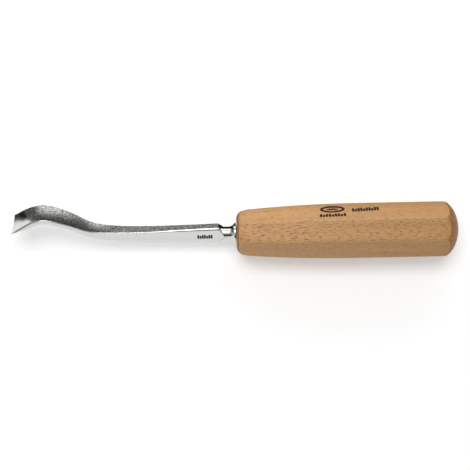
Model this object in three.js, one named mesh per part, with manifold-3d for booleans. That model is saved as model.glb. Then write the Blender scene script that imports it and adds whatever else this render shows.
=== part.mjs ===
// A back-bent carving gouge: one steel forging (edge, bent blade, shank, bolster, tang) driven into an
// octagonal beech handle, with a steel ring inside the handle's mouth to keep the wood from splitting.
// Millimetres, +X from the cutting edge to the butt, +Z up. The tool lies on one flat of its handle.

import * as THREE from "three";
import { ParametricGeometry } from "three/addons/geometries/ParametricGeometry.js";
import { mergeVertices } from "three/addons/utils/BufferGeometryUtils.js";
import Module from "manifold-3d";

const wasm = await Module();
wasm.setup();

// Driving dimensions. Lengths along the tool are counted from the handle's mouth, back to the butt.
const FLATS = 8;
const HANDLE_LENGTH = 126;
const HANDLE_ACROSS_FLATS = 31.2;
const MOUTH_ACROSS_FLATS = 25.2;
const PARALLEL_FROM = 68; // the swelling ends here and the handle runs parallel to its butt
const MOUTH_FACE_RADIUS = 8;
const MOUTH_ROUNDING = 5;
const BUTT_DOME = 11.5; // how far the turned dome reaches along the handle
const REST_POINT = 90; // the middle of the parallel stretch, where the tool lies on its flat
const BLADE_ROLL = -Math.PI / 4; // the bend leans over by one flat of the handle

const EDGE_THICKNESS = 0.16;
const BEVEL_ANGLE = THREE.MathUtils.degToRad(18);
const SHOULDER = -10.4; // the shank's thick end
const SHOULDER_LENGTH = 3.5; // over which the shank slopes down into the neck
const SHOULDER_END = 0.42; // the height left at the slope's foot, as a share of the shank's
const NECK_RADIUS = 3.7;
const NECK_ROUNDING = 1.8; // the neck starts inside the shank with a cone of this length
const FLANGE_RADIUS = 5.8;
const FLANGE_RIM = 0.8;
const FLARE_RADIUS = 4; // of the trumpet between neck and flange
const FIT_GAP = 0.3; // between pieces that touch

const TANG_LENGTH = 62;
const TANG_ROOT = 6.4; // side of the square
const TANG_POINT = 2.6;

const RING_RADIUS = 6.1;
const RING_WALL = 1.1;
const RING_LENGTH = 12;

// Stations of the blade from the edge to the shank's shoulder. top is the height of the upper face over
// the handle's axis, hollow the depth of the channel and chamfer the leg of the long edges' chamfer.
const STATIONS = [
  { at: -126, top: 10.1, width: 15.8, thickness: 3.0, hollow: 1.7, chamfer: 0.5 },
  { at: -120, top: 14.3, width: 15.7, thickness: 3.1, hollow: 1.6, chamfer: 0.5 },
  { at: -113, top: 17.9, width: 14.0, thickness: 3.1, hollow: 1.3, chamfer: 0.45 },
  { at: -106, top: 18.7, width: 12.9, thickness: 3.1, hollow: 1.0, chamfer: 0.35 },
  { at: -94, top: 14.0, width: 11.6, thickness: 2.9, hollow: 0.8, chamfer: 0.3 },
  { at: -82, top: 7.1, width: 8.6, thickness: 4.3, hollow: 0.4, chamfer: 0.3 },
  { at: -68, top: 4.9, width: 6.4, thickness: 6.5, hollow: 0, chamfer: 0.25 },
  { at: -50, top: 4.5, width: 5.5, thickness: 8.1, hollow: 0, chamfer: 0.25 },
  { at: -30, top: 5.3, width: 5.3, thickness: 9.9, hollow: 0, chamfer: 0.65 },
  { at: SHOULDER, top: 6.1, width: 5.4, thickness: 11.6, hollow: 0, chamfer: 0.9 },
];
const EDGE = STATIONS[0];

const ROUND_SIDES = 48; // of the ring and its seat

const STEEL = { color: 0xb9b9b6, roughness: 0.28, metalness: 1 };
const RING_STEEL = { color: 0x9a9b9c, roughness: 0.4, metalness: 1 };
const BEECH = { color: 0xc79c6d, roughness: 0.55, metalness: 0 };

// Turns a closed three.js geometry into a solid that can be cut and joined.
function solid(geometry) {
  const bare = geometry.clone();
  bare.deleteAttribute("normal");
  bare.deleteAttribute("uv");
  const merged = mergeVertices(bare, 1e-4);
  const mesh = new wasm.Mesh({
    numProp: 3,
    vertProperties: new Float32Array(merged.attributes.position.array),
    triVerts: new Uint32Array(merged.index.array),
  });
  return new wasm.Manifold(mesh);
}

// Turns a solid back into a three.js geometry.
function geometryOf(body) {
  const mesh = body.getMesh();
  const geometry = new THREE.BufferGeometry();
  geometry.setAttribute("position", new THREE.BufferAttribute(mesh.vertProperties, 3));
  geometry.setIndex(new THREE.BufferAttribute(mesh.triVerts, 1));
  geometry.computeVertexNormals();
  return geometry;
}

function piece(name, body, look) {
  const mesh = new THREE.Mesh(geometryOf(body), new THREE.MeshStandardMaterial(look));
  mesh.name = name;
  return mesh;
}

// A turned solid about the tool's axis from [distance along, radius] points, with the given sides.
function turned(points, sides, startAngle = 0) {
  const profile = points.map(([along, radius]) => new THREE.Vector2(radius, along));
  const lathe = new THREE.LatheGeometry(profile, sides, startAngle);
  return solid(lathe.rotateZ(-Math.PI / 2));
}

// Points of an arc in the [distance along, radius] plane, angles in degrees from the +along direction.
function arc(alongCentre, radiusCentre, arcRadius, fromDegrees, toDegrees, steps) {
  return Array.from({ length: steps + 1 }, (_, i) => {
    const angle = THREE.MathUtils.degToRad(fromDegrees + ((toDegrees - fromDegrees) * i) / steps);
    return [alongCentre + arcRadius * Math.cos(angle), radiusCentre + arcRadius * Math.sin(angle)];
  });
}

// The blade's measures at a distance along the tool: a cubic through the stations, whose slope at each
// one is that of the line between its neighbours.
function bladeAt(along) {
  const last = STATIONS.length - 2;
  const found = STATIONS.findIndex((s, k) => k < last && along < STATIONS[k + 1].at);
  const i = found < 0 ? last : found;
  const slope = (k, measure) => {
    const low = STATIONS[Math.max(k - 1, 0)];
    const high = STATIONS[Math.min(k + 1, last + 1)];
    return (high[measure] - low[measure]) / (high.at - low.at);
  };
  const [start, stop] = [STATIONS[i], STATIONS[i + 1]];
  const span = stop.at - start.at;
  const u = (along - start.at) / span;
  const blend = u * u * (3 - 2 * u);
  const value = (measure) =>
    start[measure] * (1 - blend) +
    stop[measure] * blend +
    span * slope(i, measure) * u * (1 - u) ** 2 -
    span * slope(i + 1, measure) * u * u * (1 - u);
  return {
    top: value("top"),
    width: value("width"),
    thickness: value("thickness"),
    hollow: Math.max(value("hollow"), 0),
    chamfer: value("chamfer"),
  };
}

// One cross-section of the blade as [across, rise, bow] points in order round it. rise is square to the
// blade's line. bow is the channel's depth, and the back bulges by as much, so the wall stays even.
function bladeSection(width, thickness, hollow, chamfer) {
  const ACROSS_STEPS = 6;
  const half = width / 2;
  const flat = half - chamfer;
  const bow = (across) => hollow * (1 - (across / flat) ** 2);
  const steps = Array.from({ length: ACROSS_STEPS + 1 }, (_, i) => flat * (1 - (2 * i) / ACROSS_STEPS));
  return [
    ...steps.map((across) => [across, 0, bow(across)]),
    [-half, -chamfer, 0],
    [-half, chamfer - thickness, 0],
    ...steps.map((across) => [-across, -thickness, bow(across)]),
    [half, chamfer - thickness, 0],
    [half, -chamfer, 0],
  ];
}

// Cross-sections from the edge to the shoulder, thinned towards the edge by the bevel on the back.
function bladeRows() {
  const SPACING = 0.8;
  const NUDGE = 0.01; // for the slope of the bend
  const THINNEST_CHAMFERED = 2.4; // a chamfer's leg is never more than the thickness over this
  const count = Math.round((SHOULDER - EDGE.at) / SPACING);
  return Array.from({ length: count + 1 }, (_, i) => {
    const along = EDGE.at + ((SHOULDER - EDGE.at) * i) / count;
    const { top, width, thickness: body, hollow, chamfer } = bladeAt(along);
    const climb = bladeAt(along + NUDGE).top - bladeAt(along - NUDGE).top;
    const up = new THREE.Vector2(-climb, 2 * NUDGE).normalize();
    const reach = Math.hypot(along - EDGE.at, top - EDGE.top);
    const thickness = Math.min(body, EDGE_THICKNESS + reach * Math.tan(BEVEL_ANGLE));
    const leg = Math.min(chamfer, thickness / THINNEST_CHAMFERED);
    const section = bladeSection(width, thickness, hollow, leg);
    return section.map(
      ([across, rise, bow]) => new THREE.Vector3(along + up.x * rise, across, top + up.y * rise - bow),
    );
  });
}

// The shank's end: its last section, squeezed towards the axis where it runs down into the neck.
function shoulderRows() {
  const { top, width, thickness, chamfer } = STATIONS[STATIONS.length - 1];
  const section = bladeSection(width, thickness, 0, chamfer);
  const EASED = 0.4; // the shoulder's edge is rounded over this length
  const EASED_SHARE = 0.96;
  return [
    [EASED, EASED_SHARE],
    [SHOULDER_LENGTH, SHOULDER_END],
  ].map(([past, share]) =>
    section.map(([across, rise]) => new THREE.Vector3(SHOULDER + past, across, (top + rise) * share)),
  );
}

// The forged blade and shank: a skin over the cross-sections. An extra row at each end brings the upper
// face and the back together on the line midway between them, which closes the ends.
function bladeSolid() {
  const rows = [...bladeRows(), ...shoulderRows()];
  const points = rows[0].length;
  const facing = (k) => (2 * points - 3 - k) % points; // the point right across the thickness
  const gathered = (row) => row.map((p, k) => p.clone().lerp(row[facing(k)], 0.5));
  const closed = [gathered(rows[0]), ...rows, gathered(rows[rows.length - 1])];
  const lastRow = closed.length - 1;
  const skin = (u, v, target) => {
    const row = closed[Math.round(v * lastRow)];
    target.copy(row[Math.round(u * points) % points]);
  };
  return solid(new ParametricGeometry(skin, points, lastRow));
}

// The turned neck and the trumpet-shaped flange that seats on the handle's mouth.
function bolsterSolid() {
  const SIDES = 32;
  const FLARE_STEPS = 8;
  const sweep = Math.acos(1 - (FLANGE_RADIUS - NECK_RADIUS) / FLARE_RADIUS);
  const flareFrom = -FIT_GAP - FLANGE_RIM - FLARE_RADIUS * Math.sin(sweep);
  const sweepDegrees = THREE.MathUtils.radToDeg(sweep);
  return turned(
    [
      [SHOULDER - NECK_ROUNDING / 2, 0],
      [SHOULDER - NECK_ROUNDING / 4, NECK_RADIUS / 2],
      [SHOULDER + NECK_ROUNDING, NECK_RADIUS],
      ...arc(flareFrom, NECK_RADIUS + FLARE_RADIUS, FLARE_RADIUS, -90, -90 + sweepDegrees, FLARE_STEPS),
      [-FIT_GAP, FLANGE_RADIUS],
      [-FIT_GAP, 0],
    ],
    SIDES,
  );
}

// The square tang, tapering to a blunt point inside the handle.
function tangSolid(side, point, length, from) {
  const CORNER = Math.SQRT1_2;
  const spike = new THREE.CylinderGeometry(point * CORNER, side * CORNER, length, 4, 1);
  return solid(spike.rotateY(Math.PI / 4).rotateZ(-Math.PI / 2).translate(from + length / 2, 0, 0));
}

function blade() {
  const OVERLAP = 0.5; // the tang starts inside the flange
  const forging = bladeSolid()
    .add(bolsterSolid())
    .add(tangSolid(TANG_ROOT, TANG_POINT, TANG_LENGTH, -FIT_GAP - OVERLAP));
  const mesh = piece("blade", forging, STEEL);
  mesh.rotation.x = BLADE_ROLL;
  return mesh;
}

// The ring pressed into the mouth of the handle, hidden behind the bolster.
function ferrule() {
  const front = FIT_GAP;
  const back = front + RING_LENGTH;
  const bore = RING_RADIUS - RING_WALL;
  const wall = [
    [front, bore],
    [front, RING_RADIUS],
    [back, RING_RADIUS],
    [back, bore],
    [front, bore],
  ];
  return piece("ferrule_ring", turned(wall, ROUND_SIDES), RING_STEEL);
}

// The handle's swelling: half its size across flats at a distance from the mouth.
function halfAcrossFlats(along) {
  const run = Math.min(along / PARALLEL_FROM, 1);
  const swell = 1 - (1 - run) ** 2;
  return (MOUTH_ACROSS_FLATS + (HANDLE_ACROSS_FLATS - MOUTH_ACROSS_FLATS) * swell) / 2;
}

function handle() {
  const SWELL_STEPS = 7;
  const toCorner = 1 / Math.cos(Math.PI / FLATS);
  const swelling = Array.from({ length: SWELL_STEPS + 1 }, (_, i) => {
    const along = (PARALLEL_FROM * i) / SWELL_STEPS;
    return [along, halfAcrossFlats(along) * toCorner];
  });
  const octagon = turned(
    [[0, 0], ...swelling, [HANDLE_LENGTH, (HANDLE_ACROSS_FLATS / 2) * toCorner], [HANDLE_LENGTH, 0]],
    FLATS,
    Math.PI / FLATS,
  );

  // The ends are turned: a rounded mouth and a domed butt, which cut scallops into the flats.
  const SIDES = 64;
  const DOME_STEPS = 10;
  const CLEAR = 0.1; // the turned shape passes just outside the octagon's corners
  const outer = (HANDLE_ACROSS_FLATS / 2) * toCorner + CLEAR;
  const dome = arc(0, 0, 1, 90, 0, DOME_STEPS).map(([along, out]) => [
    HANDLE_LENGTH - BUTT_DOME * (1 - along),
    outer * out,
  ]);
  const MOUTH_STEPS = 5;
  const MOUTH_ARC_END = 100; // degrees; the rounding stops a little short of running straight along
  const rounded = turned(
    [
      [0, 0],
      ...arc(MOUTH_ROUNDING, MOUTH_FACE_RADIUS, MOUTH_ROUNDING, 180, MOUTH_ARC_END, MOUTH_STEPS),
      [MOUTH_ROUNDING * 2, outer],
      ...dome,
    ],
    SIDES,
  );

  const SEAT_OVERRUN = 1; // the cutter starts in front of the mouth
  const seatEnd = RING_LENGTH + 2 * FIT_GAP;
  const socketRoot = TANG_ROOT + 2 * FIT_GAP;
  const socketPoint = TANG_POINT + 2 * FIT_GAP;
  const socket = tangSolid(socketRoot, socketPoint, TANG_LENGTH, -FIT_GAP);
  const seat = turned(
    [
      [-SEAT_OVERRUN, 0],
      [-SEAT_OVERRUN, RING_RADIUS + FIT_GAP],
      [seatEnd, RING_RADIUS + FIT_GAP],
      [seatEnd, 0],
    ],
    ROUND_SIDES,
  );
  const core = socket.rotate([THREE.MathUtils.radToDeg(BLADE_ROLL), 0, 0]).add(seat);
  return piece("handle", octagon.intersect(rounded).subtract(core), BEECH);
}

const tool = new THREE.Group();
tool.position.set(-REST_POINT, 0, HANDLE_ACROSS_FLATS / 2);
tool.add(handle(), ferrule(), blade());

const gouge = new THREE.Group();
gouge.add(tool);

export default gouge;
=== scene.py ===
"""Looks of a back-bent carving gouge: ground and polished steel blade, octagonal beech handle.

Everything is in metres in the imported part's frame: +X from the cutting edge to the butt, +Z up.
"""
import math

import bmesh
import bpy
from mathutils import Euler, Matrix, Vector


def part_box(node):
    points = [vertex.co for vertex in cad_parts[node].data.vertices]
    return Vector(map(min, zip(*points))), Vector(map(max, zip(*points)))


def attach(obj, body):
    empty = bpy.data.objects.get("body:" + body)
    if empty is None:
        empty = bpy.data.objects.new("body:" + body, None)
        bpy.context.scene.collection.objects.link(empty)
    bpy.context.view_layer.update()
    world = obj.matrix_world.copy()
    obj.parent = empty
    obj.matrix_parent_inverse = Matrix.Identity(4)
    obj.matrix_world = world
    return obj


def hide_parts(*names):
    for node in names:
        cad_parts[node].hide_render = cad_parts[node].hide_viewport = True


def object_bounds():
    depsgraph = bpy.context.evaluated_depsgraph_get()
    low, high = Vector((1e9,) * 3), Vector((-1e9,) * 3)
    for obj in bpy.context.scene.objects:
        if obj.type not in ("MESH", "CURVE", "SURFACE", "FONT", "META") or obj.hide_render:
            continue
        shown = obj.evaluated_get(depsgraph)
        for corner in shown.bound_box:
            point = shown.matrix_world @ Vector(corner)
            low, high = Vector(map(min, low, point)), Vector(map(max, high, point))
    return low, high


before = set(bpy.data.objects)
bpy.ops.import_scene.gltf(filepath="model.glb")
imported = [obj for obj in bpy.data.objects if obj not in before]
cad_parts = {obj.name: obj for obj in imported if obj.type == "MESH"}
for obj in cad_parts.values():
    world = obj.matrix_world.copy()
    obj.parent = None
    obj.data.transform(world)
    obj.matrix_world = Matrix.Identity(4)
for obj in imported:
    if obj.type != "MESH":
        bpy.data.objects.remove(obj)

bl_info = {
    "name": "Back-bent carving gouge",
    "version": (1, 0, 0),
    "blender": (4, 5, 0),
    "location": "View3D > Sidebar > Gouge",
    "description": "Builds the gouge's blade, handle and marks round the packed part",
    "category": "Object",
}

MM = 0.001
CAD_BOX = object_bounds()
BLADE_LOW, BLADE_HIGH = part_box("blade")
HANDLE_LOW, HANDLE_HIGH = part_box("handle")
RING_LOW, RING_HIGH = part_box("ferrule_ring")

# The tool's own line: the handle's axis, from its mouth.
MOUTH = Vector((HANDLE_LOW.x, (HANDLE_LOW.y + HANDLE_HIGH.y) / 2, (HANDLE_LOW.z + HANDLE_HIGH.z) / 2))
HANDLE_LENGTH = HANDLE_HIGH.x - HANDLE_LOW.x
ACROSS_FLATS = HANDLE_HIGH.z - HANDLE_LOW.z
FLATS = 8
FLAT_TURN = math.tau / FLATS
BLADE_ROLL = -FLAT_TURN  # the bend leans over by one flat of the handle
FIT_GAP = 0.3 * MM  # between pieces that touch

# The handle's turned ends.
MOUTH_FACE_RADIUS = 8 * MM
MOUTH_ROUNDING = 5 * MM
BUTT_DOME = 11.5 * MM  # how far the dome reaches along the handle

# Stations of the blade, in millimetres: distance from the handle's mouth, height of the upper face over
# the axis, width, thickness, depth of the channel and leg of the chamfer on the long edges.
STATIONS = (
    (-126.0, 10.1, 15.8, 3.0, 1.7, 0.50),
    (-120.0, 14.3, 15.7, 3.1, 1.6, 0.50),
    (-113.0, 17.9, 14.0, 3.1, 1.3, 0.45),
    (-106.0, 18.7, 12.9, 3.1, 1.0, 0.35),
    (-94.0, 14.0, 11.6, 2.9, 0.8, 0.30),
    (-82.0, 7.1, 8.6, 4.3, 0.4, 0.30),
    (-68.0, 4.9, 6.4, 6.5, 0.0, 0.25),
    (-50.0, 4.5, 5.5, 8.1, 0.0, 0.25),
    (-30.0, 5.3, 5.3, 9.9, 0.0, 0.65),
    (-10.4, 6.1, 5.4, 11.6, 0.0, 0.90),
)
EDGE_AT, EDGE_TOP = STATIONS[0][:2]
CHANNEL_END = STATIONS[5][0]  # the channel has nearly run out here
SHOULDER = STATIONS[-1][0]
SHANK_HALF_WIDTH = STATIONS[-1][2] / 2 * MM
WELD = 1e-7  # points closer than this, in metres, are the same point


def linear(hex_colour):
    """An sRGB hex colour as linear RGBA."""
    parts = [int(hex_colour[i : i + 2], 16) / 255 for i in (1, 3, 5)]
    return [c / 12.92 if c <= 0.04045 else ((c + 0.055) / 1.055) ** 2.4 for c in parts] + [1.0]


def srgb(hex_colour):
    """An sRGB hex colour as the default of a colour property, which holds linear values."""
    return tuple(linear(hex_colour)[:3])


# ---------------------------------------------------------------- properties


class GougeBladeSettings(bpy.types.PropertyGroup):
    """Sizes and finish of the blade."""

    bevel_angle: bpy.props.FloatProperty(
        name="Bevel angle", description="Angle of the bevel ground on the back",
        default=math.radians(18), subtype="ANGLE")
    neck_radius: bpy.props.FloatProperty(
        name="Neck radius", description="Radius of the turned neck",
        default=3.7 * MM, min=0, unit="LENGTH")
    flange_radius: bpy.props.FloatProperty(
        name="Flange radius", description="Radius of the bolster's flange",
        default=5.8 * MM, min=0, unit="LENGTH")
    steel: bpy.props.FloatVectorProperty(
        name="Steel", description="Reflected colour of the polished steel",
        default=srgb("#D2D2CF"), subtype="COLOR", size=3)


class GougeHandleSettings(bpy.types.PropertyGroup):
    """Sizes and colours of the handle."""

    mouth_flats: bpy.props.FloatProperty(
        name="Mouth across flats", description="Size across flats at the handle's mouth",
        default=25.2 * MM, min=0, unit="LENGTH")
    parallel_from: bpy.props.FloatProperty(
        name="Parallel from", description="Distance from the mouth where the swelling ends",
        default=68 * MM, min=0, unit="LENGTH")
    arris: bpy.props.FloatProperty(
        name="Arris", description="How far the edges between the flats are sanded off",
        default=0.22 * MM, min=0, unit="LENGTH")
    wood: bpy.props.FloatVectorProperty(
        name="Wood", description="Colour of the beech at the mouth",
        default=srgb("#BC8F5F"), subtype="COLOR", size=3)
    butt_wood: bpy.props.FloatVectorProperty(
        name="Butt wood", description="Colour of the beech at the butt, which has darkened more",
        default=srgb("#AC8150"), subtype="COLOR", size=3)
    # Also given to the mouth's rounding, where this darker tone is end grain and also painted shade on the
    # side that faces away from the light.
    end_grain_and_mouth_shade: bpy.props.FloatVectorProperty(
        name="End grain", description="Colour of the end grain, which drinks the lacquer",
        default=srgb("#8F6233"), subtype="COLOR", size=3)
    fleck: bpy.props.FloatVectorProperty(
        name="Fleck", description="Colour of the ray flecks and pores",
        default=srgb("#7C5029"), subtype="COLOR", size=3)


# ---------------------------------------------------------------- small tools


def add(tree, kind, inputs=None, **settings):
    """Adds a node. inputs gives each socket a value or the socket that feeds it."""
    node = tree.nodes.new(kind)
    for name, value in settings.items():
        setattr(node, name, value)
    for name, value in (inputs or {}).items():
        if isinstance(value, bpy.types.NodeSocket):
            tree.links.new(value, node.inputs[name])
        else:
            node.inputs[name].default_value = value
    return node


def new_material(name):
    """An empty node material, its tree and its output node."""
    material = bpy.data.materials.new(name)
    material.use_nodes = True
    tree = material.node_tree
    tree.nodes.clear()
    return material, tree, add(tree, "ShaderNodeOutputMaterial")


def new_object(bm, name):
    """Makes the bmesh an object at the origin."""
    mesh = bpy.data.meshes.new(name)
    bm.to_mesh(mesh)
    bm.free()
    made = bpy.data.objects.new(name, mesh)
    bpy.context.scene.collection.objects.link(made)
    return made


def apply_modifiers(made):
    """Bakes the object's modifiers into its mesh."""
    graph = bpy.context.evaluated_depsgraph_get()
    baked = bpy.data.meshes.new_from_object(made.evaluated_get(graph))
    made.modifiers.clear()
    old = made.data
    made.data = baked
    bpy.data.meshes.remove(old)


def combine(made, tools, operation):
    """Joins, cuts or intersects the object with the tools, which are then removed."""
    for tool in tools:
        boolean = made.modifiers.new("combine", "BOOLEAN")
        boolean.operation = operation
        boolean.solver = "EXACT"
        boolean.object = tool
        apply_modifiers(made)
        bpy.data.meshes.remove(tool.data)


def smooth_by_angle(made, degrees):
    """Smooth shading, with edges sharper than the angle left sharp."""
    for polygon in made.data.polygons:
        polygon.use_smooth = True
    made.data.set_sharp_from_angle(angle=math.radians(degrees))


def ring_of(bm, points):
    """A closed loop of edges through the points."""
    verts = [bm.verts.new(p) for p in points]
    return [bm.edges.new((a, b)) for a, b in zip(verts, verts[1:] + verts[:1])]


def loft(bm, rings, sharp_start=False):
    """A closed skin over rings of points of the same count, each extruded from the one before.

    With a sharp start the first ring is folded flat on a line, which closes that end.
    """
    edges = ring_of(bm, rings[0])
    fold = [edge.verts[0] for edge in edges]
    if not sharp_start:
        bmesh.ops.contextual_create(bm, geom=edges)
    place = {edge.verts[0]: k for k, edge in enumerate(edges)}
    for ring in rings[1:]:
        extruded = bmesh.ops.extrude_edge_only(bm, edges=edges)["geom"]
        raised = {g for g in extruded if isinstance(g, bmesh.types.BMVert)}
        edges = [g for g in extruded if isinstance(g, bmesh.types.BMEdge) and raised.issuperset(g.verts)]
        moved = {}
        for vert in raised:
            below = next(e.other_vert(vert) for e in vert.link_edges if e.other_vert(vert) in place)
            vert.co = ring[place[below]]
            moved[vert] = place[below]
        place = moved
    bmesh.ops.contextual_create(bm, geom=edges)
    if sharp_start:
        bmesh.ops.remove_doubles(bm, verts=fold, dist=WELD)
    bmesh.ops.recalc_face_normals(bm, faces=bm.faces)


def spun(name, profile):
    """A solid turned about the tool's axis from [distance from the mouth, radius] points in metres."""
    steps = 96
    bm = bmesh.new()
    verts = [bm.verts.new((along, 0, radius)) for along, radius in profile]
    edges = [bm.edges.new(pair) for pair in zip(verts, verts[1:])]
    bmesh.ops.spin(
        bm, geom=verts + edges, cent=(0, 0, 0), axis=(1, 0, 0), angle=math.tau, steps=steps, use_merge=True)
    bmesh.ops.remove_doubles(bm, verts=bm.verts, dist=WELD)
    bmesh.ops.recalc_face_normals(bm, faces=bm.faces)
    return new_object(bm, name)


def arc(centre_along, centre_radius, radius, start, stop, steps):
    """Points of an arc in the [distance, radius] plane, angles in degrees from the way to the butt."""
    angles = [math.radians(start + (stop - start) * i / steps) for i in range(steps + 1)]
    return [(centre_along + radius * math.cos(a), centre_radius + radius * math.sin(a)) for a in angles]


# ---------------------------------------------------------------- blade


def at_station(along):
    """Top, width, thickness, hollow and chamfer of the blade at a distance, all in millimetres."""
    last = len(STATIONS) - 2
    i = next((k for k in range(last) if along < STATIONS[k + 1][0]), last)

    def slope(k, column):
        low, high = max(k - 1, 0), min(k + 1, last + 1)
        return (STATIONS[high][column] - STATIONS[low][column]) / (STATIONS[high][0] - STATIONS[low][0])

    span = STATIONS[i + 1][0] - STATIONS[i][0]
    u = (along - STATIONS[i][0]) / span
    values = []
    for column in range(1, 6):
        start, stop = STATIONS[i][column], STATIONS[i + 1][column]
        values.append(
            start * (2 * u**3 - 3 * u**2 + 1)
            + stop * (3 * u**2 - 2 * u**3)
            + span * slope(i, column) * (u**3 - 2 * u**2 + u)
            + span * slope(i + 1, column) * (u**3 - u**2))
    return values


def blade_section(width, thickness, hollow, chamfer):
    """The outline of a cross-section in order round it: [across, rise, bow] points.

    rise is square to the blade's line, bow is the channel's depth there.
    """
    across_steps = 20
    corner_ease = 0.35 * chamfer
    half = width / 2
    flat = half - chamfer
    steps = [flat * (1 - 2 * i / across_steps) for i in range(across_steps + 1)]

    def bow(across):
        return hollow * (1 - (across / flat) ** 2)

    corners = [(-flat, 0), (-half, -chamfer), (-half, chamfer - thickness), (-flat, -thickness)]
    corners += [(-across, -thickness - rise) for across, rise in corners]
    eased = [eased_corner(corners, k, corner_ease) for k in range(len(corners))]
    return (
        [(x, 0, bow(x)) for x in steps[1:-1]]
        + [(x, rise, 0) for x, rise in eased[0] + eased[1] + eased[2] + eased[3]]
        + [(-x, -thickness, bow(x)) for x in steps[1:-1]]
        + [(x, rise, 0) for x, rise in eased[4] + eased[5] + eased[6] + eased[7]])


def eased_corner(corners, k, reach):
    """Three points that round off a corner of the closed outline."""
    before, corner, after = (Vector(corners[(k + step) % len(corners)]) for step in (-1, 0, 1))
    start = corner + (before - corner).normalized() * reach
    stop = corner + (after - corner).normalized() * reach
    return [tuple(p) for p in (start, (start + 2 * corner + stop) / 4, stop)]


def blade_rings(settings):
    """Cross-sections of the forging from the edge to the shoulder, placed along the bend."""
    spacing = 0.8
    step = 0.01  # for the slope of the bend
    thinnest_chamfered = 2.4  # a chamfer's leg is never more than the thickness over this
    length = SHOULDER - EDGE_AT
    count = round(length / spacing)
    edge = Vector((EDGE_AT, EDGE_TOP))
    rings = []
    for i in range(count + 1):
        along = EDGE_AT + length * i / count
        top, width, body, hollow, chamfer = at_station(along)
        tangent = Vector((2 * step, at_station(along + step)[0] - at_station(along - step)[0])).normalized()
        up = Vector((-tangent.y, tangent.x))
        reach = (Vector((along, top)) - edge).length
        bevelled = reach * math.tan(settings.bevel_angle)
        thickness = min(body, bevelled)
        chamfer = min(chamfer, thickness / thinnest_chamfered)
        rings.append([
            Vector((along + up.x * rise, across, top + up.y * rise - bow)) * MM
            for across, rise, bow in blade_section(width, thickness, max(hollow, 0), chamfer)])
    return rings


def shank_end_rings():
    """The shoulder: the shank's last section slopes down into the neck."""
    top, width, thickness, _, chamfer = STATIONS[-1][1:]
    eased, corner, foot = (0.3, 0.985), (0.6, 0.94), (3.4, 0.43)  # distance past it, share of its height
    rings = []
    for past, share in (eased, corner, foot):
        rings.append([
            Vector((SHOULDER + past, across, (top + rise) * share)) * MM
            for across, rise, _ in blade_section(width, thickness, 0, chamfer)])
    return rings


def bolster(settings):
    """The turned neck, flaring like a trumpet into the flange that stops against the handle."""
    neck, flange = settings.neck_radius, settings.flange_radius
    flare_radius = 4 * MM
    sweep = math.acos(1 - (flange - neck) / flare_radius)
    rim_width = 0.8 * MM
    ease = 0.12 * MM
    rounding = 1.8 * MM  # the neck starts inside the shank with a cone of this length
    shoulder = SHOULDER * MM
    back = -FIT_GAP
    start = back - rim_width - flare_radius * math.sin(sweep)
    profile = [(shoulder - rounding / 2, 0), (shoulder - rounding / 4, neck / 2), (shoulder + rounding, neck)]
    profile += arc(start, neck + flare_radius, flare_radius, -90, -90 + math.degrees(sweep), 16)
    profile += arc(back - ease, flange - ease, ease, 90, 0, 3)
    profile += [(back, 0)]
    return spun("bolster", profile)


def pocket(side):
    """A cutter with a rounded, sloping end that carries the shank's side flat into the neck."""
    depth = 1.5 * MM
    floor_radius, open_radius = 3.5 * MM, 4.4 * MM
    centre = (SHOULDER - 0.4) * MM
    tail = centre - 4 * MM
    bm = bmesh.new()
    rings = []
    for out, radius in ((SHANK_HALF_WIDTH, floor_radius), (SHANK_HALF_WIDTH + depth, open_radius)):
        end = arc(centre, 0, radius, -90, 90, 16)
        outline = [*end, (tail, radius), (tail, -radius)]
        rings.append([Vector((along, side * out, up)) for along, up in outline])
    loft(bm, rings)
    return new_object(bm, "pocket")


def tang():
    """The square tang inside the handle, in its CAD place."""
    root, point = 5.8 * MM, 2.6 * MM  # sides of the square
    front = -0.8 * MM  # inside the flange
    length = BLADE_HIGH.x - MOUTH.x - front
    to_corner = 1 / math.sqrt(2)
    bm = bmesh.new()
    bmesh.ops.create_cone(
        bm, cap_ends=True, cap_tris=False, segments=4,
        radius1=root * to_corner, radius2=point * to_corner, depth=length)
    bmesh.ops.rotate(bm, verts=bm.verts, matrix=Matrix.Rotation(math.tau / 8, 3, "Z"))
    bmesh.ops.rotate(bm, verts=bm.verts, matrix=Matrix.Rotation(math.tau / 4, 3, "Y"))
    bmesh.ops.translate(bm, verts=bm.verts, vec=(length / 2 + front, 0, 0))
    return new_object(bm, "tang")


def place_on_tool(made, roll=0.0):
    """Moves a mesh built along the X axis from the mouth to its place in the part's frame."""
    made.data.transform(Matrix.Translation(MOUTH) @ Matrix.Rotation(roll, 4, "X"))


class GOUGE_OT_blade(bpy.types.Operator):
    """Build the forged blade with its shank, neck and bolster"""

    bl_idname = "gouge.blade"
    bl_label = "Blade"

    def execute(self, context):
        settings = context.scene.gouge_blade
        bm = bmesh.new()
        loft(bm, blade_rings(settings) + shank_end_rings(), sharp_start=True)
        made = new_object(bm, "blade_forging")
        combine(made, [bolster(settings), tang()], "UNION")
        combine(made, [pocket(1), pocket(-1)], "DIFFERENCE")

        polished = polished_steel(settings)
        blasted = blasted_steel(settings)
        honed = honed_steel(settings)
        for material in (polished, blasted, honed):
            made.data.materials.append(material)
        for polygon in made.data.polygons:
            polygon.material_index = finish_of(polygon, settings)
        smooth_by_angle(made, 28)
        place_on_tool(made, BLADE_ROLL)
        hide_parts("blade")
        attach(made, "root")
        return {"FINISHED"}


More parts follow.
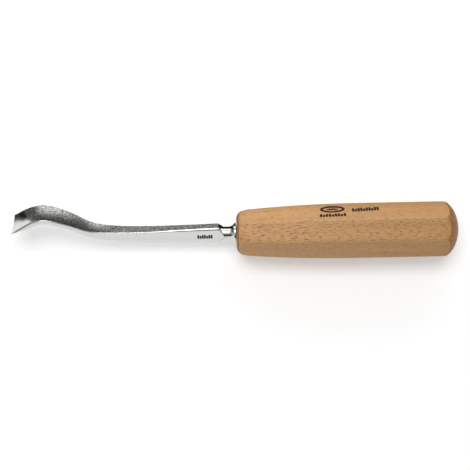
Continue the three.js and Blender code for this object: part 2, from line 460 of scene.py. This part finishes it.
def finish_of(polygon, settings):
    """The face's material: 0 polished, 1 blasted (the channel and the shank's top), 2 honed (the bevel)."""
    polished, blasted, honed = range(3)
    past_shoulder = 0.2  # millimetres
    channel_lean, shank_lean = 0.5, 0.3  # the channel's flanks lean more than the shank's flat top
    facing_up = 0.5
    near_top = 2  # millimetres
    centre, normal = polygon.center, polygon.normal
    along = centre.x / MM
    if along > SHOULDER + past_shoulder:
        return polished
    top, _, body = at_station(max(along, EDGE_AT))[:3]
    level = abs(normal.y) < (channel_lean if along < CHANNEL_END else shank_lean)
    if level and normal.z > facing_up and abs(centre.z / MM - top) < near_top:
        return blasted
    bevel_length = body / math.tan(settings.bevel_angle)
    if level and normal.z < 0 and along < EDGE_AT + bevel_length:
        return honed
    return polished


def polished_steel(settings):
    """Polished carbon steel: mirror-like, with fine grinding lines along the tool that stretch highlights."""
    material, tree, output = new_material("polished carbon steel")
    place = add(tree, "ShaderNodeTexCoord")
    lines = add(tree, "ShaderNodeMapping", {"Vector": place.outputs["Object"], "Scale": (60, 2500, 2500)})
    grind = add(tree, "ShaderNodeTexNoise", {"Vector": lines.outputs["Vector"], "Scale": 1.0, "Detail": 3.0})
    rough = add(
        tree, "ShaderNodeMapRange",
        {"Value": grind.outputs["Fac"], "From Min": 0.3, "From Max": 0.7, "To Min": 0.16, "To Max": 0.26})
    bump = add(
        tree, "ShaderNodeBump",
        {"Height": grind.outputs["Fac"], "Strength": 0.12, "Distance": 0.02 * MM})
    shader = add(
        tree, "ShaderNodeBsdfPrincipled",
        {"Base Color": [*settings.steel, 1], "Metallic": 1.0, "Roughness": rough.outputs["Result"],
         "Normal": bump.outputs["Normal"]})
    tree.links.new(shader.outputs["BSDF"], output.inputs["Surface"])
    return material


def blasted_steel(settings):
    """Bead-blasted steel, grey and mottled in patches of a millimetre, stoned smooth towards the edge."""
    material, tree, output = new_material("bead-blasted steel, stoned at the edge")
    place = add(tree, "ShaderNodeTexCoord")
    patches = add(
        tree, "ShaderNodeTexNoise",
        {"Vector": place.outputs["Object"], "Scale": 1000.0, "Detail": 4.0, "Roughness": 0.65})
    # The stoned stretch ends on a slant: nearer the edge on the far side than on the near side.
    slant = math.atan2(10.5, 10)
    start = Vector((MOUTH.x - 122.5 * MM, MOUTH.y + 15 * MM, 0))
    fade = 2.5 * MM
    along = add(
        tree, "ShaderNodeMapping",
        {"Vector": place.outputs["Object"], "Location": start, "Rotation": (0, 0, slant)},
        vector_type="TEXTURE")
    along_x = add(tree, "ShaderNodeSeparateXYZ", {"Vector": along.outputs["Vector"]})
    blasted = add(
        tree, "ShaderNodeMapRange",
        {"Value": along_x.outputs["X"], "From Min": 0.0, "From Max": fade, "To Min": 0.0, "To Max": 1.0})
    mottle = add(
        tree, "ShaderNodeMapRange",
        {"Value": patches.outputs["Fac"], "From Min": 0.38, "From Max": 0.62, "To Min": 0.0, "To Max": 1.0})
    patchy = add(
        tree, "ShaderNodeMix",
        {"Factor": mottle.outputs["Result"], "A": linear("#666664"), "B": linear("#D0D0CC")},
        data_type="RGBA")
    colour = add(
        tree, "ShaderNodeMix",
        {"Factor": blasted.outputs["Result"], "A": [*settings.steel, 1], "B": patchy.outputs["Result"]},
        data_type="RGBA")
    rough = add(
        tree, "ShaderNodeMapRange",
        {"Value": blasted.outputs["Result"], "To Min": 0.19, "To Max": 0.4})
    bump = add(
        tree, "ShaderNodeBump",
        {"Height": patches.outputs["Fac"], "Strength": blasted.outputs["Result"], "Distance": 0.1 * MM})
    shader = add(
        tree, "ShaderNodeBsdfPrincipled",
        {"Base Color": colour.outputs["Result"], "Metallic": 1.0, "Roughness": rough.outputs["Result"],
         "Normal": bump.outputs["Normal"]})
    tree.links.new(shader.outputs["BSDF"], output.inputs["Surface"])
    return material


def honed_steel(settings):
    """Honed steel of the bevel: brighter and smoother than the rest, faint lines across the edge."""
    material, tree, output = new_material("honed carbon steel")
    place = add(tree, "ShaderNodeTexCoord")
    lines = add(tree, "ShaderNodeMapping", {"Vector": place.outputs["Object"], "Scale": (1800, 120, 120)})
    grind = add(tree, "ShaderNodeTexNoise", {"Vector": lines.outputs["Vector"], "Scale": 1.0, "Detail": 2.0})
    rough = add(
        tree, "ShaderNodeMapRange",
        {"Value": grind.outputs["Fac"], "From Min": 0.3, "From Max": 0.7, "To Min": 0.08, "To Max": 0.16})
    shader = add(
        tree, "ShaderNodeBsdfPrincipled",
        {"Base Color": [*settings.steel, 1], "Metallic": 1.0, "Roughness": rough.outputs["Result"]})
    tree.links.new(shader.outputs["BSDF"], output.inputs["Surface"])
    return material


# ---------------------------------------------------------------- handle


class GOUGE_OT_handle(bpy.types.Operator):
    """Build the octagonal beech handle"""

    bl_idname = "gouge.handle"
    bl_label = "Handle"

    def execute(self, context):
        settings = context.scene.gouge_handle
        bm = bmesh.new()
        loft(bm, handle_rings(settings) + bore_rings())
        made = new_object(bm, "handle_body")
        beech = lacquered_beech(settings, "lacquered beech", settings.wood, settings.butt_wood)
        end_grain_and_mouth_shade = lacquered_beech(
            settings, "lacquered beech end grain and painted mouth shade", settings.end_grain_and_mouth_shade, settings.end_grain_and_mouth_shade)
        for material in (beech, end_grain_and_mouth_shade):
            made.data.materials.append(material)
        for polygon in made.data.polygons:
            # The mouth's rounding gets the darker end-grain colour, which there is also painted shade on the
            # side facing away from the light.
            polygon.material_index = 1 if is_end_grain_or_mouth_shade(polygon) else 0
        smooth_by_angle(made, 34)
        place_on_tool(made)
        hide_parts("handle")
        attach(made, "root")
        return {"FINISHED"}


def eased_min(radii, arris):
    """The smallest of the radii, eased by the arris where two of them meet."""
    power = math.log(2) * min(radii) / arris
    scale = min(radii)
    return scale * sum((r / scale) ** -power for r in radii) ** (-1 / power)


def facet_directions():
    """Angles round the handle, closer together near the eight edges."""
    per_flat = 16
    angles = []
    for k in range(FLATS):
        for j in range(per_flat):
            share = math.sin(math.pi * (j / per_flat - 0.5))
            angles.append(k * FLAT_TURN + share * FLAT_TURN / 2)
    return angles


def envelope(along):
    """Radius of the turned ends at a distance from the mouth: a rounded mouth and a domed butt."""
    clear = 0.1 * MM  # the turned shape passes just outside the octagon's corners
    outer = ACROSS_FLATS / 2 / math.cos(FLAT_TURN / 2) + clear
    arc_turn = math.radians(80)  # the rounding stops a little short of running straight along
    rounding = MOUTH_ROUNDING
    lip = rounding * (1 - math.cos(arc_turn))
    lip_radius = MOUTH_FACE_RADIUS + rounding * math.sin(arc_turn)
    if along < lip:
        return MOUTH_FACE_RADIUS + math.sqrt(max(rounding**2 - (rounding - along) ** 2, 0))
    if along < 2 * rounding:
        return lip_radius + (outer - lip_radius) * (along - lip) / (2 * rounding - lip)
    past = max(along - (HANDLE_LENGTH - BUTT_DOME), 0) / BUTT_DOME
    return outer * math.sqrt(max(1 - past**2, 0))


def handle_rings(settings):
    """Cross-sections from the butt to the mouth: the swelling octagon inside the turned ends."""
    dome_steps, body_steps, mouth_steps = 48, 28, 26
    mouth_end = 9 * MM
    crowding = 1.6  # the sections crowd together towards the mouth
    plain_round = 3 * MM  # below this radius the flats no longer reach the turned ends
    butt_start = HANDLE_LENGTH - BUTT_DOME
    turns = [math.pi / 2 * i / dome_steps for i in range(1, dome_steps + 1)]
    stations = [HANDLE_LENGTH - BUTT_DOME * (1 - math.cos(turn)) for turn in turns]
    stations += [butt_start - (butt_start - mouth_end) * i / body_steps for i in range(1, body_steps)]
    stations += [mouth_end * (1 - i / mouth_steps) ** crowding for i in range(mouth_steps + 1)]
    rings = []
    for along in stations:
        flat = handle_flat(along, settings)
        turned = envelope(along)
        ring = []
        for angle in facet_directions():
            nearest = round(angle / FLAT_TURN)
            sides = [flat / math.cos(angle - k * FLAT_TURN) for k in (nearest - 1, nearest, nearest + 1)]
            radius = eased_min([*sides, turned], settings.arris) if turned > plain_round else turned
            ring.append(Vector((along, radius * math.cos(angle), radius * math.sin(angle))))
        rings.append(ring)
    return rings


def is_end_grain_or_mouth_shade(polygon):
    """Whether the face takes the darker end-grain colour: the turned dome of the butt, which is end grain, or
    the face and rounding of the mouth, where the darker tone is end grain and also painted shade on the side
    facing away from the light.
    """
    facing_along = 0.75
    near_dome = 12 * MM
    skin = 0.12 * MM
    centre = polygon.center
    if centre.x < HANDLE_LENGTH / 2:
        return abs(polygon.normal.x) > facing_along
    out = math.hypot(centre.y, centre.z)
    return centre.x > HANDLE_LENGTH - near_dome and out > envelope(centre.x) - skin


def bore_rings():
    """The hole in the mouth that takes the ring and the tang."""
    radius = (RING_HIGH.z - RING_LOW.z) / 2 + FIT_GAP
    depth = RING_HIGH.x - MOUTH.x + FIT_GAP
    return [
        [Vector((along, radius * math.cos(a), radius * math.sin(a))) for a in facet_directions()]
        for along in (0.0, depth)]


def lacquered_beech(settings, name, at_mouth, at_butt):
    """Beech under thin lacquer: golden brown, darker to the butt, short dark flecks, soft gloss."""
    material, tree, output = new_material(name)
    place = add(tree, "ShaderNodeTexCoord")
    where = add(tree, "ShaderNodeSeparateXYZ", {"Vector": place.outputs["Object"]})
    to_butt = add(
        tree, "ShaderNodeMapRange",
        {"Value": where.outputs["X"], "From Min": MOUTH.x, "From Max": HANDLE_HIGH.x})
    ground = add(
        tree, "ShaderNodeMix",
        {"Factor": to_butt.outputs["Result"], "A": [*at_mouth, 1], "B": [*at_butt, 1]}, data_type="RGBA")

    # Slow changes of colour, in bands a few millimetres wide along the bar.
    broad = add(tree, "ShaderNodeMapping", {"Vector": place.outputs["Object"], "Scale": (11, 160, 160)})
    bands = add(tree, "ShaderNodeTexNoise", {"Vector": broad.outputs["Vector"], "Scale": 1.0, "Detail": 4.0})
    band_shade = add(
        tree, "ShaderNodeMapRange",
        {"Value": bands.outputs["Fac"], "From Min": 0.3, "From Max": 0.7, "To Min": 0.90, "To Max": 1.10})
    banded = add(
        tree, "ShaderNodeVectorMath", {0: ground.outputs["Result"], "Scale": band_shade.outputs["Result"]},
        operation="SCALE")

    # Flecks about 2.5 mm long and 0.3 mm wide, strongest on the two flats that cut the rays lengthwise,
    # and a pale line where sanding broke the arrises of those flats. It runs on over the turned ends.
    beside = add(tree, "ShaderNodeMath", {0: where.outputs["Y"], 1: MOUTH.y}, operation="SUBTRACT")
    above = add(tree, "ShaderNodeMath", {0: where.outputs["Z"], 1: MOUTH.z}, operation="SUBTRACT")
    lean = add(tree, "ShaderNodeMath", {0: beside.outputs[0], 1: above.outputs[0]}, operation="DIVIDE")
    side = add(tree, "ShaderNodeMath", {0: lean.outputs[0]}, operation="ABSOLUTE")
    arris = math.tan(FLAT_TURN / 2)
    blur = 0.02
    on_rays = add(
        tree, "ShaderNodeMapRange",
        {"Value": side.outputs[0], "From Min": arris - blur, "From Max": arris + blur,
         "To Min": 0.85, "To Max": 0.4})
    sanded = add(
        tree, "ShaderNodeMath", {0: side.outputs[0], 1: arris, 2: blur}, operation="COMPARE")
    grain = add(tree, "ShaderNodeMapping", {"Vector": place.outputs["Object"], "Scale": (380, 2100, 1000)})
    flecks = add(
        tree, "ShaderNodeTexNoise",
        {"Vector": grain.outputs["Vector"], "Scale": 1.0, "Detail": 2.0, "Roughness": 0.55})
    fleck_mask = add(
        tree, "ShaderNodeMapRange",
        {"Value": flecks.outputs["Fac"], "From Min": 0.52, "From Max": 0.66, "To Min": 0.0,
         "To Max": on_rays.outputs["Result"]})
    flecked = add(
        tree, "ShaderNodeMix",
        {"Factor": fleck_mask.outputs["Result"], "A": banded.outputs["Vector"], "B": [*settings.fleck, 1]},
        data_type="RGBA")
    paler = add(tree, "ShaderNodeMath", {0: sanded.outputs[0], 1: 0.1}, operation="MULTIPLY")
    colour = add(
        tree, "ShaderNodeMix",
        {"Factor": paler.outputs[0], "A": flecked.outputs["Result"], "B": linear("#F0CB9C")},
        data_type="RGBA")
    bump = add(
        tree, "ShaderNodeBump",
        {"Height": flecks.outputs["Fac"], "Strength": 0.25, "Distance": 0.08 * MM})
    shader = add(
        tree, "ShaderNodeBsdfPrincipled",
        {"Base Color": colour.outputs["Result"], "Roughness": 0.5, "IOR": 1.42,
         "Normal": bump.outputs["Normal"]})
    tree.links.new(shader.outputs["BSDF"], output.inputs["Surface"])
    return material


# ---------------------------------------------------------------- marks


class GOUGE_OT_marks(bpy.types.Operator):
    """Burn the marks into the handle's upper flat and stamp the dashes into the shank"""

    bl_idname = "gouge.marks"
    bl_label = "Marks"

    def execute(self, context):
        # Places along the tool are counted from the mouth, places across from the middle of the face.
        handle = context.scene.gouge_handle
        oval_at = 54 * MM
        row_at = 72.5 * MM
        burned = oval_mark(oval_at, 1.7 * MM, width=14 * MM, height=5.4 * MM)
        burned += dash_row(oval_at, -3 * MM, length=15 * MM, height=2.6 * MM, count=9, lean=1)
        burned += dash_row(row_at, 1.1 * MM, length=15.4 * MM, height=3 * MM, count=10, lean=3.5)
        burn = inlay("burned_marks", burned, lambda x: handle_flat(x, handle))
        burn.data.materials.append(charred_wood())
        place_on_tool(burn, BLADE_ROLL)

        # The stamp is on the shank's near side: a quarter turn from its upper face.
        dashes = dash_row(-18 * MM, 0, length=8.8 * MM, height=3 * MM, count=7, lean=0)
        stamp = inlay("stamped_dashes", dashes, lambda x: SHANK_HALF_WIDTH)
        stamp.data.materials.append(blackened_stamp())
        place_on_tool(stamp, BLADE_ROLL + math.tau / 4)
        for made in (burn, stamp):
            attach(made, "root")
        return {"FINISHED"}


def inlay(name, outlines, level):
    """Thin plates let into a surface whose distance from the tool's axis is level(x)."""
    proud, sunk = 0.015 * MM, 0.05 * MM
    bm = bmesh.new()
    for outline in outlines:
        rim = ring_of(bm, [(x, y, level(x) - sunk) for x, y in outline])
        face = bmesh.ops.contextual_create(bm, geom=rim)["faces"]
        raised = bmesh.ops.extrude_face_region(bm, geom=face)["geom"]
        bmesh.ops.translate(
            bm, verts=[v for v in raised if isinstance(v, bmesh.types.BMVert)], vec=(0, 0, proud + sunk))
    bmesh.ops.recalc_face_normals(bm, faces=bm.faces)
    return new_object(bm, name)


def dash_row(centre_x, centre_y, length, height, count, lean):
    """A row of upright dashes with rounded ends, every third one short, turned by the lean in degrees."""
    pitch = length / count
    half = pitch * 0.42
    short = 0.55
    cap_steps = 8
    cap = [math.pi * k / cap_steps for k in range(cap_steps + 1)]
    turn = Matrix.Rotation(math.radians(lean), 2)
    dashes = []
    for i in range(count):
        x = (i + 0.5) * pitch - length / 2
        top = height / 2 * (short if i % 3 == 1 else 1)
        outline = [(x + half * math.cos(a), top - half + half * math.sin(a)) for a in cap]
        outline += [(x - half * math.cos(a), -height / 2 + half - half * math.sin(a)) for a in cap]
        dashes.append([turn @ Vector(p) + Vector((centre_x, centre_y)) for p in outline])
    return dashes


def oval_mark(centre_x, centre_y, width, height):
    """The upper and lower halves of an oval ring, with a solid oval inside."""
    half_steps, core_points = 24, 32

    def oval(share_x, share_y, start, stop, steps):
        angles = [start + (stop - start) * i / steps for i in range(steps + 1)]
        return [(width / 2 * share_x * math.cos(a), height / 2 * share_y * math.sin(a)) for a in angles]

    upper = oval(1, 1, 0, math.pi, half_steps) + oval(0.76, 0.46, math.pi, 0, half_steps)
    lower = [(-x, -y) for x, y in upper]
    last_angle = math.tau * (core_points - 1) / core_points
    core = oval(0.48, 0.24, 0, last_angle, core_points - 1)
    return [[(x + centre_x, y + centre_y) for x, y in outline] for outline in (upper, lower, core)]


def charred_wood():
    """Wood scorched by a branding iron: nearly black brown, matt, paler in specks where it burned less."""
    material, tree, output = new_material("charred beech")
    place = add(tree, "ShaderNodeTexCoord")
    specks = add(
        tree, "ShaderNodeTexNoise", {"Vector": place.outputs["Object"], "Scale": 1500.0, "Detail": 2.0})
    colour = add(
        tree, "ShaderNodeMix",
        {"Factor": specks.outputs["Fac"], "A": linear("#120804"), "B": linear("#2E170E")}, data_type="RGBA")
    shader = add(
        tree, "ShaderNodeBsdfPrincipled", {"Base Color": colour.outputs["Result"], "Roughness": 0.8})
    tree.links.new(shader.outputs["BSDF"], output.inputs["Surface"])
    return material


def blackened_stamp():
    """Steel struck by a stamp and left black: dark grey scale with a dull shine."""
    material, tree, output = new_material("blackened stamped steel")
    place = add(tree, "ShaderNodeTexCoord")
    scale = add(tree, "ShaderNodeTexNoise", {"Vector": place.outputs["Object"], "Scale": 3000.0})
    colour = add(
        tree, "ShaderNodeMix",
        {"Factor": scale.outputs["Fac"], "A": linear("#0A0A0A"), "B": linear("#2C2C2B")}, data_type="RGBA")
    shader = add(
        tree, "ShaderNodeBsdfPrincipled",
        {"Base Color": colour.outputs["Result"], "Metallic": 1.0, "Roughness": 0.5})
    tree.links.new(shader.outputs["BSDF"], output.inputs["Surface"])
    return material


def handle_flat(along, settings):
    """Distance of the handle's flats from its axis."""
    run = min(along / settings.parallel_from, 1)
    swell = 1 - (1 - run) ** 2
    return (settings.mouth_flats + (ACROSS_FLATS - settings.mouth_flats) * swell) / 2


# ---------------------------------------------------------------- ring


class GOUGE_OT_ring(bpy.types.Operator):
    """Finish the steel ring inside the handle's mouth"""

    bl_idname = "gouge.ring"
    bl_label = "Ferrule ring"

    def execute(self, context):
        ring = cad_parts["ferrule_ring"]
        ring.data.materials.clear()
        ring.data.materials.append(turned_steel())
        return {"FINISHED"}


def turned_steel():
    """Plain turned steel: grey, with fine turning marks round it."""
    material, tree, output = new_material("turned mild steel")
    place = add(tree, "ShaderNodeTexCoord")
    lines = add(tree, "ShaderNodeMapping", {"Vector": place.outputs["Object"], "Scale": (3000, 40, 40)})
    marks = add(tree, "ShaderNodeTexNoise", {"Vector": lines.outputs["Vector"], "Scale": 1.0})
    rough = add(
        tree, "ShaderNodeMapRange",
        {"Value": marks.outputs["Fac"], "To Min": 0.3, "To Max": 0.5})
    shader = add(
        tree, "ShaderNodeBsdfPrincipled",
        {"Base Color": linear("#A9A9AA"), "Metallic": 1.0, "Roughness": rough.outputs["Result"]})
    tree.links.new(shader.outputs["BSDF"], output.inputs["Surface"])
    return material


# ---------------------------------------------------------------- stage

STAGE_REACH = 1.2  # how far the cards reach to each side


class GOUGE_OT_stage(bpy.types.Operator):
    """Set up the floor, the soft lights and the camera"""

    bl_idname = "gouge.stage"
    bl_label = "Stage"

    def execute(self, context):
        make_floor()
        make_lights()
        make_cards()
        make_surround()
        make_camera(context.scene)
        context.scene.view_settings.view_transform = "Standard"
        return {"FINISHED"}


def make_floor():
    """A wide light table under the tool: white, and lit a little from below."""
    bm = bmesh.new()
    half_side = 3.0
    bmesh.ops.create_grid(bm, x_segments=4, y_segments=4, size=half_side)
    bmesh.ops.translate(bm, verts=bm.verts, vec=(0, 0, CAD_BOX[0].z))
    floor = new_object(bm, "floor")
    material, tree, output = new_material("white light table")
    shader = add(
        tree, "ShaderNodeBsdfPrincipled",
        {"Base Color": linear("#E6E6E6"), "Roughness": 0.9, "Emission Color": linear("#FFFFFF"),
         "Emission Strength": 0.25})
    tree.links.new(shader.outputs["BSDF"], output.inputs["Surface"])
    floor.data.materials.append(material)


def area_light(name, place, target, size, power):
    """A soft white rectangular light that faces the target."""
    data = bpy.data.lights.new(name, "AREA")
    data.shape = "RECTANGLE"
    data.size, data.size_y = size
    data.energy = power
    light = bpy.data.objects.new(name, data)
    light.location = place
    light.rotation_euler = (Vector(target) - Vector(place)).to_track_quat("-Z", "Y").to_euler()
    bpy.context.scene.collection.objects.link(light)


def reflector(name, corners, colour, strength):
    """A flat card that only reflections see: black to darken them, glowing to lighten them."""
    bm = bmesh.new()
    bmesh.ops.contextual_create(bm, geom=[bm.verts.new(c) for c in corners])
    card = new_object(bm, name)
    material, tree, output = new_material(name)
    glow = add(tree, "ShaderNodeEmission", {"Color": linear(colour), "Strength": strength})
    tree.links.new(glow.outputs["Emission"], output.inputs["Surface"])
    card.data.materials.append(material)
    card.visible_camera = False
    card.visible_diffuse = False
    card.visible_shadow = False
    card.visible_transmission = False


def make_lights():
    """A soft light overhead and a low one behind the tool."""
    middle = (CAD_BOX[0] + CAD_BOX[1]) / 2
    target = Vector((middle.x, middle.y, 0))
    area_light("key", target + Vector((-0.05, 0.3, 0.92)), target, size=(0.6, 0.36), power=4.6)
    area_light("low_back", target + Vector((0, 1.1, 0.5)), target, size=(1.6, 0.4), power=5.2)


def upright_card(name, low, high, colour="#000000", strength=0.0):
    """A card right across the stage, between a low and a high edge given as (y, z)."""
    near_low, near_high = (-STAGE_REACH, *low), (-STAGE_REACH, *high)
    far_low, far_high = (STAGE_REACH, *low), (STAGE_REACH, *high)
    reflector(name, [near_low, far_low, far_high, near_high], colour, strength)


def floor_card(name, left, right, front, back):
    """A black card flat on the floor."""
    lift = 0.5 * MM
    corners = [(left, front, lift), (right, front, lift), (right, back, lift), (left, back, lift)]
    reflector(name, corners, "#000000", 0.0)


def make_cards():
    """A white card in front of the tool, and black ones high in front, behind it and to its left."""
    front, back = -0.5, 0.55
    dark_from = 0.042
    strip_from = 0.02
    neck_from = 0.007
    neck_length = 0.02
    edge = MOUTH.x + EDGE_AT * MM
    upright_card("front_card", (front, 0), (front, 0.25), "#FFFFFF", 1.05)
    upright_card("dark_front_high_card", (front, 0.35), (-0.35, 0.9))
    floor_card("dark_floor_card", -STAGE_REACH, STAGE_REACH, dark_from, back)
    floor_card("dark_strip_card", edge, STAGE_REACH, strip_from, dark_from)
    floor_card("dark_neck_card", MOUTH.x - neck_length, MOUTH.x, neck_from, strip_from)
    upright_card("dark_back_card", (back, 0), (back, 0.13))
    left = CAD_BOX[0].x - 0.25
    corners = [(left, 0.03, 0), (left, 0.35, 0), (left, 0.35, 0.2), (left, 0.03, 0.2)]
    reflector("dark_left_card", corners, "#000000", 0.0)


def make_surround():
    """An even white surround."""
    world = bpy.data.worlds.new("studio")
    world.use_nodes = True
    tree = world.node_tree
    tree.nodes.clear()
    output = add(tree, "ShaderNodeOutputWorld")
    surround = add(tree, "ShaderNodeBackground", {"Color": linear("#FFFFFF"), "Strength": 0.52})
    tree.links.new(surround.outputs["Background"], output.inputs["Surface"])
    bpy.context.scene.world = world


def make_camera(scene):
    """The camera looks straight down on the tool, turned by about a degree."""
    distance = 0.58
    view_width = 0.2681
    turn = math.radians(-1.15)
    off_centre = Vector((-0.88, -1.18, 0)) * MM
    aim = MOUTH + off_centre
    data = bpy.data.cameras.new("camera")
    data.lens = data.sensor_width * distance / view_width
    data.clip_start = 0.01
    camera = bpy.data.objects.new("camera", data)
    camera.location = aim + Vector((0, 0, distance))
    camera.rotation_euler = Euler((0, 0, turn))
    scene.collection.objects.link(camera)
    scene.camera = camera


# ---------------------------------------------------------------- panel and main


class GOUGE_PT_panel(bpy.types.Panel):
    """Lists the pieces of the gouge"""

    bl_idname = "GOUGE_PT_panel"
    bl_label = "Carving gouge"
    bl_space_type = "VIEW_3D"
    bl_region_type = "UI"
    bl_category = "Gouge"

    def draw(self, context):
        for operator in (GOUGE_OT_blade, GOUGE_OT_handle, GOUGE_OT_marks, GOUGE_OT_ring, GOUGE_OT_stage):
            self.layout.operator(operator.bl_idname)


CLASSES = (
    GougeBladeSettings,
    GougeHandleSettings,
    GOUGE_OT_blade,
    GOUGE_OT_handle,
    GOUGE_OT_marks,
    GOUGE_OT_ring,
    GOUGE_OT_stage,
    GOUGE_PT_panel,
)


def register():
    for cls in CLASSES:
        bpy.utils.register_class(cls)
    bpy.types.Scene.gouge_blade = bpy.props.PointerProperty(type=GougeBladeSettings)
    bpy.types.Scene.gouge_handle = bpy.props.PointerProperty(type=GougeHandleSettings)


def unregister():
    del bpy.types.Scene.gouge_handle
    del bpy.types.Scene.gouge_blade
    for cls in reversed(CLASSES):
        bpy.utils.unregister_class(cls)


def main():
    register()
    bpy.ops.gouge.blade()
    bpy.ops.gouge.handle()
    bpy.ops.gouge.marks()
    bpy.ops.gouge.ring()
    bpy.ops.gouge.stage()


if __name__ == "__main__":
    main()
